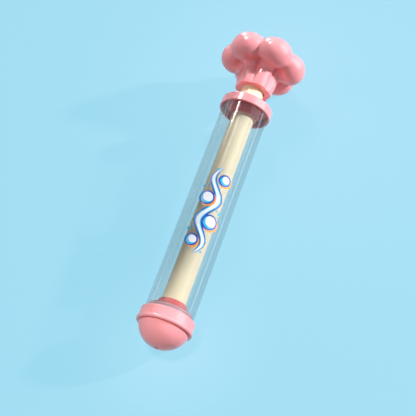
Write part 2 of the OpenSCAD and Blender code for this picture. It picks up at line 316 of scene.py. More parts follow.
@dataclass(frozen=True)
class ClearPlastic(Finish):
    """Clear extruded tube: a cool tint on its outer face, a paler rim at grazing angles that is a painted
    edge reflection, faint lines along its length.

    The lines are drawn by the die. Each has its place in degrees about the axis and its strength.
    The wall looks denser past the slant, where it is seen at a low angle.
    """

    name: str
    tint: Colour
    rim_reflection_tint: Colour
    line_tint: Colour
    density: float
    bore_density: float
    rim_reflection_density: float
    line_density: float
    face_r: float
    lines: tuple[tuple[float, float], ...]
    line_width: float = 6.0
    bore_soft: float = 0.0002
    grain_scale: float = 17.0
    grain_detail: float = 1.0
    grain_share: float = 0.06
    rim_blend: float = 0.5
    rim_power: float = 8.0
    slant: float = 0.6
    slant_soft: float = 0.12
    slant_gain: float = 0.5
    roughness: float = 0.03
    grain_rough: float = 0.02
    ior: float = 1.49
    gloss: float = 1.0
    sheen_rough: float = 0.13
    sheen_ior: float = 1.6

    def paint(self, graph: Graph) -> None:
        """Write the finish's nodes.

        Args:
            graph: The material's graph.
        """
        across, _, up = graph.parts(graph.place())
        bore = across.hypot(up).under(self.face_r * MM, self.bore_soft)
        turn = across.math("ARCTAN2", up)
        grain = graph.noise(turn, self.grain_scale, self.grain_detail)
        lines = self.drawn(turn, grain)
        facing = graph.out("ShaderNodeLayerWeight", {}, {"Blend": self.rim_blend}, "Facing")
        # Painted reflection: towards grazing angles the rim's colour turns paler and more opaque.
        rim = facing ** self.rim_power
        low = 1.0 - facing.under(self.slant, self.slant_soft)
        wall = self.density * (1.0 + self.slant_gain * low)
        body = wall + (self.bore_density - wall) * bore
        skin = (self.line_density * lines + self.rim_reflection_density * rim) * (1.0 - bore)
        colour = graph.blend(lines, self.tint, self.line_tint)
        graph.finish(graph.principled({
            "Base Color": graph.blend(rim, colour, self.rim_reflection_tint),
            "Roughness": self.roughness + self.grain_rough * grain,
            "IOR": self.ior,
            "Coat Weight": self.gloss,
            "Coat Roughness": self.sheen_rough,
            "Coat IOR": self.sheen_ior,
            "Alpha": body + skin,
        }))

    def drawn(self, turn: Wire, grain: Wire) -> Wire:
        """Lines along the tube: a faint grain, and a soft band at each line's place.

        Args:
            turn: Angle about the axis in radians.
            grain: Fine noise about the axis.

        Returns:
            The lines' strength.
        """
        half = math.radians(self.line_width / 2.0)
        lines = self.grain_share * grain
        for spot, strength in self.lines:
            away = (turn - math.radians(spot)).math("ABSOLUTE")
            lines = lines + strength * away.under(half, half)
        return lines


@dataclass(frozen=True)
class RodPlastic(Finish):
    """Satin cream plastic with faint drawing lines along the rod."""

    name: str
    colour: Colour
    drift: Colour
    roughness: float
    drift_scale: float = 30.0
    line_stretch: tuple[float, float, float] = (1.0, 0.01, 1.0)
    line_scale: float = 700.0
    line_rough: float = 0.05
    line_strength: float = 0.03
    line_depth: float = 0.00002
    specular: float = 0.2
    gloss: float = 0.06
    sheen_rough: float = 0.18

    def paint(self, graph: Graph) -> None:
        """Write the finish's nodes.

        Args:
            graph: The material's graph.
        """
        place = graph.place()
        lines = graph.noise(graph.stretched(place, self.line_stretch), self.line_scale)
        tone = graph.noise(place, self.drift_scale)
        graph.finish(graph.principled({
            "Base Color": graph.blend(tone, self.colour, self.drift),
            "Roughness": self.roughness + self.line_rough * lines,
            "Specular IOR Level": self.specular,
            "Coat Weight": self.gloss,
            "Coat Roughness": self.sheen_rough,
            "Normal": graph.bump(lines, self.line_strength, self.line_depth),
        }))


@dataclass(frozen=True)
class SealRubber(Finish):
    """Matt rubber with a fine talc bloom."""

    name: str
    colour: Colour
    bloom: Colour
    roughness: float = 0.5
    talc_scale: float = 260.0
    talc_detail: float = 5.0
    talc_rough: float = 0.25
    grain_scale: float = 1500.0
    grain_strength: float = 0.2
    grain_depth: float = 0.00004

    def paint(self, graph: Graph) -> None:
        """Write the finish's nodes.

        Args:
            graph: The material's graph.
        """
        place = graph.place()
        talc = graph.noise(place, self.talc_scale, self.talc_detail)
        grain = graph.noise(place, self.grain_scale)
        graph.finish(graph.principled({
            "Base Color": graph.blend(talc, self.colour, self.bloom),
            "Roughness": self.roughness + self.talc_rough * talc,
            "Normal": graph.bump(grain, self.grain_strength, self.grain_depth),
        }))


@dataclass(frozen=True)
class ScrewSteel(Finish):
    """Plated steel with turning rings about the toy's axis, pitched in radians per metre."""

    name: str
    colour: Colour
    groove: Colour
    roughness: float = 0.25
    ring_pitch: float = 9000.0
    ring_rough: float = 0.15
    ring_strength: float = 0.15
    ring_depth: float = 0.00003

    def paint(self, graph: Graph) -> None:
        """Write the finish's nodes.

        Args:
            graph: The material's graph.
        """
        across, _, up = graph.parts(graph.place())
        rings = (across.hypot(up) * self.ring_pitch).math("SINE") * 0.5 + 0.5
        graph.finish(graph.principled({
            "Base Color": graph.blend(rings, self.colour, self.groove),
            "Metallic": 1.0,
            "Roughness": self.roughness + self.ring_rough * rings,
            "Normal": graph.bump(rings, self.ring_strength, self.ring_depth),
        }))


@dataclass(frozen=True)
class Bubble:
    """A printed bubble or drop: middle along and across the film, and radius, in millimetres."""

    along: float
    across: float
    radius: float


@dataclass(frozen=True)
class PrintFilm(Finish):
    """Clear film printed with a waving ribbon, outlined bubbles and small drops.

    The print is laid out in millimetres on the film's own cylinder: across it by
    angle times radius from the film's middle, and along it from its front edge.
    """

    name: str
    front: float
    length: float
    turn: float
    radius: float
    bubbles: tuple[Bubble, ...]
    drops: tuple[Bubble, ...]
    soft: float = 0.12
    wave_height: float = 5.5
    wave_count: float = 2.0
    ribbon_half: float = 4.5
    ribbon_inner: float = 3.1
    ribbon_core: float = 1.9
    outline: float = 1.5
    crescent: float = 2.2
    shade_shift: tuple[float, float] = (-1.3, 1.7)
    light_shift: tuple[float, float] = (1.3, 1.2)
    roughness: float = 0.22
    ink_scale: float = 300.0
    ink_rough: float = 0.1
    gloss: float = 0.3
    white: Colour = (0.9, 0.95, 1.0)
    navy: Colour = (0.008, 0.04, 0.45)
    cyan: Colour = (0.02, 0.5, 0.83)
    orange: Colour = (0.95, 0.36, 0.02)

    def paint(self, graph: Graph) -> None:
        """Write the finish's nodes.

        Args:
            graph: The material's graph.
        """
        place = graph.place()
        side, axial, up = graph.parts(place)
        across = (side.math("ARCTAN2", up) - math.radians(self.turn)) * self.radius
        along = axial / MM - self.front
        colour, cover = self.ribbon(graph, along, across)
        for drop in self.drops:
            inside = self.reach(along, across, drop).under(drop.radius, self.soft)
            colour, cover = graph.blend(inside, colour, self.cyan), cover.math("MAXIMUM", inside)
        for bubble in self.bubbles:
            colour, cover = self.bubble(graph, along, across, bubble, colour, cover)
        graph.finish(graph.principled({
            "Base Color": colour,
            "Roughness": self.roughness + self.ink_rough * graph.noise(place, self.ink_scale),
            "Coat Weight": self.gloss,
            "Alpha": cover,
        }))

    @staticmethod
    def reach(along: Wire, across: Wire, spot: Bubble, shift: tuple[float, float] = (0.0, 0.0)) -> Wire:
        """Distance from a spot's middle, moved by the shift along and across the film."""
        run = along - (spot.along + shift[0])
        return run.hypot(across - (spot.across + shift[1]))

    def ribbon(self, graph: Graph, along: Wire, across: Wire) -> tuple[Wire, Wire]:
        """A sine ribbon along the film that tapers to both ends.

        Its middle is the wave's height times the sine of the wave's turns over the film's
        length, and its half width follows the square root of a half sine.

        Args:
            graph: The graph to write in.
            along: Millimetres along the film.
            across: Millimetres across the film.

        Returns:
            The ribbon's colour and its cover.
        """
        share = along * (1.0 / self.length)
        middle = (share * (2.0 * math.pi * self.wave_count)).math("SINE") * self.wave_height
        swell = (share * math.pi).math("SINE").math("MAXIMUM", 0.0).math("SQRT")
        gap = (across - middle).math("ABSOLUTE")
        cover = gap.under(swell * self.ribbon_half, self.soft)
        inner = gap.under(swell * self.ribbon_inner, self.soft)
        core = gap.under(swell * self.ribbon_core, self.soft)
        colour = graph.blend(inner, self.navy, self.cyan)
        return graph.blend(core, colour, self.white), cover

    def bubble(
        self, graph: Graph, along: Wire, across: Wire, spot: Bubble, colour: Wire, cover: Wire
    ) -> tuple[Wire, Wire]:
        """A white disc with a navy outline, a cyan crescent and an orange drop shade.

        Args:
            graph: The graph to write in.
            along: Millimetres along the film.
            across: Millimetres across the film.
            spot: The bubble.
            colour: Colour of what lies under it.
            cover: Cover of what lies under it.

        Returns:
            The colour and the cover with the bubble on top.
        """
        reach = self.reach(along, across, spot)
        lit_reach = self.reach(along, across, spot, self.light_shift)
        shade = self.reach(along, across, spot, self.shade_shift).under(spot.radius, self.soft)
        disc = reach.under(spot.radius, self.soft)
        face = reach.under(spot.radius - self.outline, self.soft)
        lit = lit_reach.under(spot.radius - self.crescent, self.soft)
        colour = graph.blend(shade, colour, self.orange)
        colour = graph.blend(disc, colour, self.navy)
        colour = graph.blend(face, colour, self.cyan)
        colour = graph.blend(face * lit, colour, self.white)
        return colour, cover.math("MAXIMUM", shade).math("MAXIMUM", disc)


@dataclass(frozen=True)
class FloorPaint(Finish):
    """Plain pale floor with a faint mottle.

    To the eye the steady share of its colour is even, and the rest takes shadow.
    """

    name: str
    colour: Colour
    bounce: Colour
    steady: float
    mottle_scale: float = 3.0
    mottle_gain: float = 1.03
    roughness: float = 0.7
    mottle_rough: float = 0.1

    def paint(self, graph: Graph) -> None:
        """Write the finish's nodes.

        Args:
            graph: The material's graph.
        """
        mottle = graph.noise(graph.place(), self.mottle_scale)
        paler = tuple(min(1.0, self.mottle_gain * c) for c in self.bounce)
        lit = graph.principled({
            "Base Color": graph.blend(mottle, self.bounce, paler),
            "Roughness": self.roughness + self.mottle_rough * mottle,
            "Specular IOR Level": 0.0,
        })
        glow = graph.out("ShaderNodeEmission", {}, {"Color": (*self.colour, 1.0)})
        share = self.steady * graph.in_sight()
        graph.finish(graph.out("ShaderNodeMixShader", {}, {0: share, 1: lit, 2: glow}))


PINK = MouldedPlastic("pink_gloss", (0.95, 0.355, 0.375), (0.93, 0.335, 0.355), 0.36, 0.8)
# Painted shade: the piston's pink plastic, made darker and deeper to stand for the shade at the bottom of
# the tube.
PISTON_PINK_PAINTED_SHADE = MouldedPlastic("piston_pink_painted_shade", (0.68, 0.12, 0.11), (0.66, 0.11, 0.1), 0.35, 0.4)
# Painted shade: the guide's pink plastic, made deeper and redder to stand for the shade inside the collar.
GUIDE_PINK_PAINTED_SHADE = MouldedPlastic("guide_pink_painted_shade", (0.93, 0.2, 0.2), (0.91, 0.185, 0.185), 0.36, 0.4)
CLEAR = ClearPlastic(
    "clear_tube",
    tint=(0.06, 0.1, 0.12),
    rim_reflection_tint=(0.7, 0.9, 1.0),
    line_tint=(0.8, 0.95, 1.0),
    density=0.17,
    bore_density=0.02,
    rim_reflection_density=0.35,
    line_density=0.22,
    face_r=22.0,
    lines=((-46.0, 0.7), (-36.5, 0.9), (-25.5, 0.8), (62.0, 0.6)),
)
CREAM = RodPlastic("cream_satin", (0.93, 0.872, 0.6), (0.91, 0.842, 0.56), 0.3)
RUBBER = SealRubber("mauve_rubber", (0.58, 0.33, 0.36), (0.64, 0.4, 0.43))
STEEL = ScrewSteel("plated_steel", (0.7, 0.72, 0.75), (0.5, 0.52, 0.55))
PRINT = PrintFilm(
    "printed_film",
    front=87.27,
    length=90.0,
    turn=15.0,
    radius=23.1,
    bubbles=(
        Bubble(12.0, -5.2, 6.2),
        Bubble(33.5, 5.0, 7.6),
        Bubble(56.5, -5.2, 7.2),
        Bubble(78.0, 5.2, 6.0),
    ),
    drops=(
        Bubble(3.5, 6.5, 1.1),
        Bubble(22.5, -11.0, 1.6),
        Bubble(25.5, -8.0, 0.9),
        Bubble(45.0, 11.0, 1.5),
        Bubble(47.0, 7.6, 0.9),
        Bubble(67.5, -11.0, 1.4),
        Bubble(70.0, -7.8, 0.9),
        Bubble(87.0, -4.5, 1.2),
    ),
)


# Surfaces


def arc(mid: tuple[float, float], radius: float, start: float, stop: float, steps: int) -> Array:
    """Points of an arc in the (radius, place) half-plane: middle plus radius times (cos, sin).

    Args:
        mid: The arc's middle.
        radius: Its radius.
        start: First angle in degrees.
        stop: Last angle in degrees.
        steps: Number of points.

    Returns:
        Rows of (radius, place, rounding), where the rounding is 0.
    """
    turn = np.radians(np.linspace(start, stop, steps))
    return np.stack([mid[0] + radius * np.cos(turn), mid[1] + radius * np.sin(turn), 0 * turn], 1)


def runs(sides: Array) -> Array:
    """Lengths of the rows, as a column."""
    return np.linalg.norm(sides, axis=1, keepdims=True)


def rounded(corners: Array, steps: int = 7) -> Array:
    """Round the corners of a closed outline.

    A corner becomes an arc that touches both of its sides: its ends lie rounding over
    tan(half the corner's angle) from the corner, and points between the two end radii
    follow the sine rule of a steady turn. Corners with no rounding stay points. Short
    straight stubs at both ends of an arc keep the shading of the sides flat.

    Args:
        corners: Rows of (radius, place, rounding) in millimetres.
        steps: Points on each arc.

    Returns:
        Rows of (radius, place).
    """
    spot, size = corners[:, :2], corners[:, 2:]
    back, ahead = np.roll(spot, 1, 0) - spot, np.roll(spot, -1, 0) - spot
    back, ahead = back / runs(back), ahead / runs(ahead)
    half = 0.5 * np.arccos(np.clip((back * ahead).sum(1, keepdims=True), -1.0, 1.0))
    start = spot + back * size / np.tan(half)
    stop = spot + ahead * size / np.tan(half)
    bisector = back + ahead
    bisector = bisector / np.maximum(runs(bisector), LEAST_RUN)
    mid = spot + bisector * size / np.sin(half)
    turn = np.maximum(math.pi - 2 * half, LEAST_TURN)[:, None]
    share = np.linspace(0.0, 1.0, steps)[None, :, None]
    from_start = np.sin((1 - share) * turn) * (start - mid)[:, None]
    from_stop = np.sin(share * turn) * (stop - mid)[:, None]
    bend = mid[:, None] + (from_start + from_stop) / np.sin(turn)
    stub = np.where(size > 0, STUB * np.minimum(size, 1.0), 0.0)
    lead = np.minimum(stub, STUB_MOST * runs(start - np.roll(stop, 1, 0)))
    tail = np.minimum(stub, STUB_MOST * runs(np.roll(start, -1, 0) - stop))
    first, last = (start + back * lead)[:, None], (stop + ahead * tail)[:, None]
    line = np.concatenate([first, bend, last], 1).reshape(-1, 2)
    apart = np.linalg.norm(line - np.roll(line, 1, 0), axis=1) > ONE_POINT
    return line[apart]


def mesh_object(name: str, points: Array, faces: list[Array], sharp: float = 38.0) -> bpy.types.Object:
    """Make a smooth-shaded object at the origin from points in millimetres.

    Args:
        name: The object's name.
        points: Rows of (x, y, z).
        faces: Arrays of corner numbers, one row a face.
        sharp: Angle in degrees above which an edge stays sharp.

    Returns:
        The object, linked to the scene.
    """
    mesh = bpy.data.meshes.new(name)
    mesh.vertices.add(len(points))
    mesh.vertices.foreach_set("co", (points * MM).astype(np.float32).ravel())
    loops = np.concatenate([block.ravel() for block in faces]).astype(np.int32)
    sizes = np.concatenate([np.full(len(block), block.shape[1]) for block in faces])
    mesh.loops.add(len(loops))
    mesh.loops.foreach_set("vertex_index", loops)
    mesh.polygons.add(len(sizes))
    mesh.polygons.foreach_set("loop_start", (np.cumsum(sizes) - sizes).astype(np.int32))
    mesh.polygons.foreach_set("use_smooth", np.ones(len(sizes), bool))
    mesh.update(calc_edges=True)
    mesh.validate()
    mesh.set_sharp_from_angle(angle=math.radians(sharp))
    made = bpy.data.objects.new(name, mesh)
    bpy.context.scene.collection.objects.link(made)
    return made


def face_out(points: Array, quads: Array) -> bool:
    """Whether quads face outwards: the triple products of their halves sum to a volume above 0."""
    a, b, c, d = (points[quads[:, k]] for k in range(4))
    return bool((a * np.cross(b, c)).sum() + (a * np.cross(c, d)).sum() > 0)


def closed_shell(name: str, grid: Array) -> bpy.types.Object:
    """Skin a grid of points that closes both ways, with its faces outwards.

    Args:
        name: The object's name.
        grid: Points by direction round the axis and by place on the section.

    Returns:
        The object.
    """
    across, along = grid.shape[:2]
    number = np.arange(across * along).reshape(across, along)
    beside, after = np.roll(number, -1, 0), np.roll(number, -1, 1)
    quads = np.stack([number, after, np.roll(beside, -1, 1), beside], -1).reshape(-1, 4)
    points = grid.reshape(-1, 3)
    return mesh_object(name, points, [quads if face_out(points, quads) else quads[:, ::-1]])


def round_about(line: Array, turn: Array) -> Array:
    """Turn section points about the toy's axis: x is radius times cos, z is radius times sin.

    Args:
        line: Radius and place of the section's points, (points, 2) or (directions, points, 2).
        turn: Directions in radians.

    Returns:
        Points by direction and place on the section.
    """
    shape = (len(turn), line.shape[-2])
    radius, place = (np.broadcast_to(line[..., k], shape) for k in range(2))
    return np.stack([radius * np.cos(turn)[:, None], place, radius * np.sin(turn)[:, None]], -1)


def turned(name: str, corners: Corners, sides: int = 192) -> bpy.types.Object:
    """A turned ring: a rounded outline carried once round the axis.

    Args:
        name: The object's name.
        corners: Rows of (radius, place, rounding) in millimetres.
        sides: Number of directions.

    Returns:
        The object.
    """
    turn = np.linspace(0.0, 2 * math.pi, sides, endpoint=False)
    return closed_shell(name, round_about(rounded(np.asarray(corners, float)), turn))


def turned_cap(name: str, corners: Corners, sides: int = 128) -> bpy.types.Object:
    """A turned cap: a rounded outline that starts and ends on the axis, carried once round it.

    Args:
        name: The object's name.
        corners: Rows of (radius, place, rounding); the first and last radius is 0.
        sides: Number of directions.

    Returns:
        The object, with a single point at each pole.
    """
    line = rounded(np.asarray(corners, float))
    line = np.roll(line, -int(np.argmin(line[:, 0] - POLE_LEAN * line[:, 1])), 0)
    inner = line[line[:, 0] > ON_AXIS]
    poles = line[line[:, 0] <= ON_AXIS]
    turn = np.linspace(0.0, 2 * math.pi, sides, endpoint=False)
    grid = round_about(inner, turn)
    along = len(inner)
    number = np.arange(sides * along).reshape(sides, along)
    beside = np.roll(number, -1, 0)
    quads = np.stack([number[:, :-1], number[:, 1:], beside[:, 1:], beside[:, :-1]], -1).reshape(-1, 4)
    first, last = sides * along, sides * along + 1
    tips = poles[np.argsort(np.abs(poles[:, 1] - inner[0, 1])), 1]
    ends = np.stack([0 * tips, tips, 0 * tips], 1)
    start_fan = np.stack([np.full(sides, first), number[:, 0], beside[:, 0]], 1)
    stop_fan = np.stack([np.full(sides, last), beside[:, -1], number[:, -1]], 1)
    points = np.concatenate([grid.reshape(-1, 3), ends])
    order = 1 if face_out(points, quads) else -1
    return mesh_object(name, points, [block[:, ::order] for block in (quads, start_fan, stop_fan)])


# Setting pieces into the shared frame


def settle(piece: bpy.types.Object, finish: Finish, body: Body, slot: Slot, *nodes: str) -> None:
    """Give a new piece its finish and body, and let it stand for CAD nodes.

    Args:
        piece: The piece.
        finish: Its finish.
        body: The body it rides on.
        slot: Not used.
        nodes: The CAD nodes it stands for.
    """
    piece.data.materials.append(finish.material())
    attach(piece, body.value)
    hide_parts(*nodes)
    LOG.info("%s: %d faces, for %s", piece.name, len(piece.data.polygons), ", ".join(nodes))


def dress(node: str, finish: Finish) -> None:
    """Give a CAD node that stays in sight its finish.

    Args:
        node: The node's name.
        finish: Its finish.
    """
    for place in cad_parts[node].material_slots:
        place.material = finish.material()
    LOG.info("%s: kept, in %s", node, finish.name)


# Sub-assemblies


@dataclass
class Barrel:
    """The clear tube with its printed film, rear collar and rod guide. Millimetres."""

    tube_r: float = 23.0
    tube_bore: float = 21.0
    tube_front: float = 27.67
    tube_rear: float = 258.67
    tube_sides: int = 256
    socket_r: float = 23.1
    collar_r: float = 25.35
    collar_front: float = 251.97
    collar_rear: float = 261.17
    collar_hole: float = 13.3
    collar_round: float = 1.2
    guide_bore: float = 11.5
    guide_r: float = 13.2
    guide_front: float = 247.17
    guide_round: float = 0.5
    flange_r: float = 16.0
    flange_front: float = 257.17

    def build(self) -> None:
        """Make the tube, the collar and the guide, and dress the film."""
        tube = turned("tube_shell", [
            (self.tube_bore, self.tube_front, EDGE), (self.tube_r, self.tube_front, EDGE),
            (self.tube_r, self.tube_rear, EDGE), (self.tube_bore, self.tube_rear, EDGE),
        ], self.tube_sides)
        settle(tube, CLEAR, Body.BARREL, Slot.CLEAR, "barrel_tube")
        collar = turned("rear_cap_ring", [
            (self.socket_r, self.collar_front, EDGE), (self.collar_r, self.collar_front, SOFT),
            (self.collar_r, self.collar_rear, self.collar_round),
            (self.collar_hole, self.collar_rear, FINE),
            (self.collar_hole, self.tube_rear, FINE), (self.socket_r, self.tube_rear, EDGE),
        ])
        settle(collar, PINK, Body.BARREL, Slot.PINK, "rear_collar")
        guide = turned("guide_sleeve", [
            (self.guide_bore, self.guide_front, LIP), (self.guide_r, self.guide_front, SOFT),
            (self.guide_r, self.flange_front, EDGE), (self.flange_r, self.flange_front, EDGE),
            (self.flange_r, self.tube_rear, FINE), (self.guide_r, self.tube_rear, CRISP),
            (self.guide_r, self.collar_rear, EDGE),
            (self.guide_bore, self.collar_rear, self.guide_round),
        ])
        settle(guide, GUIDE_PINK_PAINTED_SHADE, Body.BARREL, Slot.PINK, "rod_guide")
        dress("barrel_print", PRINT)


@dataclass
class Nozzle:
    """The nozzle band with its bead, the dome and the jet insert. Millimetres."""

    waterway_r: float = 7.0
    recess_r: float = 22.65
    socket_r: float = 23.1
    band_r: float = 25.5
    band_front: float = 18.67
    band_rear: float = 31.27
    band_round: float = 0.8
    bead_r: float = 2.0
    bead_mid_r: float = 24.5
    bead_steps: int = 22
    bulkhead_front: float = 23.67
    bulkhead_rear: float = 26.17
    dome_r: float = 24.4
    dome_bore: float = 21.9
    dome_mid: float = 24.27
    dome_steps: int = 72
    dome_bore_steps: int = 40
    groove: float = 0.75
    groove_round: float = 0.25
    spigot_r: float = 22.55
    spigot_bore: float = 20.55
    spigot_rear: float = 22.67
    boss_r: float = 6.1
    boss_bore: float = 3.1
    boss_rear: float = 6.0
    jet_r: float = 1.25
    jet_sides: int = 96
    tip_r: float = 2.5
    tip_round: float = 0.15
    stem_r: float = 3.0
    stem_front: float = 0.09
    stem_round: float = 0.06
    flange_r: float = 5.0
    flange_rear: float = 8.0

    def build(self) -> None:
        """Make the band, the dome and the jet insert, and dress the seals."""
        settle(self.band(), PINK, Body.BARREL, Slot.PINK, "nozzle_collar")
        settle(self.dome(), PINK, Body.BARREL, Slot.PINK, "nozzle_dome")
        jet = turned("jet_tip", [
            (self.jet_r, 0.0, FINE), (self.tip_r, 0.0, self.tip_round),
            (self.stem_r, self.stem_front, self.stem_round),
            (self.stem_r, self.boss_rear, CRISP), (self.flange_r, self.boss_rear, FINE),
            (self.flange_r, self.flange_rear, EDGE), (self.jet_r, self.flange_rear, EDGE),
        ], self.jet_sides)
        settle(jet, PINK, Body.BARREL, Slot.PINK, "jet_insert")
        dress("tube_gasket", RUBBER)
        dress("dome_seal", RUBBER)

    def band(self) -> bpy.types.Object:
        """The band: an outline whose front edge is a bead, an arc from its front to the band's wall.

        Returns:
            The object.
        """
        reach = math.degrees(math.acos((self.band_r - self.bead_mid_r) / self.bead_r))
        bead_mid = (self.bead_mid_r, self.band_front + self.bead_r)
        return turned("nozzle_band", np.vstack([
            [(self.waterway_r, self.bulkhead_front, LIP), (self.recess_r, self.bulkhead_front, FINE),
             (self.recess_r, self.band_front, FINE)],
            arc(bead_mid, self.bead_r, -90.0, reach, self.bead_steps),
            [(self.band_r, self.band_rear, self.band_round), (self.socket_r, self.band_rear, EDGE),
             (self.socket_r, self.bulkhead_rear, FINE), (self.waterway_r, self.bulkhead_rear, LIP)],
        ]))

    def dome(self) -> bpy.types.Object:
        """The dome: two ball arcs for its faces, a groove under the bead, a spigot and the jet's boss.

        Returns:
            The object.
        """
        mid = (0.0, self.dome_mid)
        lip = self.band_front - self.groove
        outer_stop = -math.degrees(math.asin((self.dome_mid - lip) / self.dome_r))
        outer_start = -math.degrees(math.acos(self.boss_bore / self.dome_r))
        inner_start = -math.degrees(math.acos(self.spigot_bore / self.dome_bore))
        inner_stop = -math.degrees(math.acos(self.boss_r / self.dome_bore))
        outer = arc(mid, self.dome_r, outer_start, outer_stop, self.dome_steps)
        outer[-1, 2] = self.groove_round
        return turned("nozzle_ball_cap", np.vstack([
            outer,
            [(self.spigot_r, lip, CRISP), (self.spigot_r, self.spigot_rear, EDGE),
             (self.spigot_bore, self.spigot_rear, EDGE)],
            arc(mid, self.dome_bore, inner_start, inner_stop, self.dome_bore_steps),
            [(self.boss_r, self.boss_rear, EDGE), (self.boss_bore, self.boss_rear, FINE)],
        ]))


@dataclass
class Piston:
    """The piston's hub, retainer and seal. Millimetres."""

    land_r: float = 20.7
    land_round: float = 0.12
    core_r: float = 15.9
    seal_r: float = 20.9
    seal_bore: float = 16.0
    waist_r: float = 20.4
    waist_round: float = 0.25
    retainer_front: float = 26.47
    retainer_rear: float = 29.67
    retainer_round: float = 0.7
    seal_front: float = 29.77
    seal_rear: float = 36.27
    lip: float = 1.62
    flange_front: float = 36.37
    flange_rear: float = 37.87
    shoulder_h: float = 1.2
    shoulder_r: float = 17.7
    shoulder_round: float = 0.5
    root_r: float = 15.5
    hub_r: float = 13.2
    hub_rear: float = 44.07
    grip_r: float = 11.3
    floor: float = 33.17
    screw_hole: float = 1.9

    def build(self) -> None:
        """Make the hub, the retainer and the seal, and dress the screw and washer."""
        hub = turned("piston_cone", [
            (self.screw_hole, self.retainer_rear, FINE), (self.core_r, self.retainer_rear, FINE),
            (self.core_r, self.flange_front, FINE), (self.land_r, self.flange_front, self.land_round),
            (self.land_r, self.flange_rear - self.shoulder_h, CRISP),
            (self.shoulder_r, self.flange_rear, self.shoulder_round),
            (self.root_r, self.flange_rear, SOFT),
            (self.hub_r, self.hub_rear, SOFT), (self.grip_r, self.hub_rear, EDGE),
            (self.grip_r, self.floor, FINE), (self.screw_hole, self.floor, FINE),
        ])
        settle(hub, PISTON_PINK_PAINTED_SHADE, Body.PLUNGER, Slot.PINK, "piston_hub")
        plate = turned("piston_front_plate", [
            (self.screw_hole, self.retainer_front, FINE),
            (self.land_r, self.retainer_front, self.retainer_round),
            (self.land_r, self.retainer_rear, FINE), (self.screw_hole, self.retainer_rear, FINE),
        ])
        settle(plate, PISTON_PINK_PAINTED_SHADE, Body.PLUNGER, Slot.PINK, "piston_retainer")
        step = self.seal_r - self.waist_r
        seal = turned("twin_lip_seal", [
            (self.seal_bore, self.seal_front, EDGE), (self.seal_r, self.seal_front, LIP),
            (self.seal_r, self.seal_front + self.lip, self.waist_round),
            (self.waist_r, self.seal_front + self.lip + step, self.waist_round),
            (self.waist_r, self.seal_rear - self.lip - step, self.waist_round),
            (self.seal_r, self.seal_rear - self.lip, self.waist_round),
            (self.seal_r, self.seal_rear, LIP), (self.seal_bore, self.seal_rear, EDGE),
        ])
        settle(seal, RUBBER, Body.SEAL, Slot.RUBBER, "piston_seal")
        dress("piston_screw", STEEL)
        dress("piston_washer", RUBBER)


@dataclass
class PushRod:
    """The hollow rod and its plugs. Millimetres."""

    radius: float = 11.2
    bore: float = 9.4
    front: float = 33.17
    rear: float = 316.97

    def build(self) -> None:
        """Make the rod and dress its plugs."""
        rod = turned("rod_tube", [
            (self.bore, self.front, EDGE), (self.radius, self.front, EDGE),
            (self.radius, self.rear, EDGE), (self.bore, self.rear, EDGE),
        ])
        settle(rod, CREAM, Body.PLUNGER, Slot.CREAM, "push_rod")
        dress("rod_front_plug", CREAM)
        dress("rod_rear_plug", CREAM)


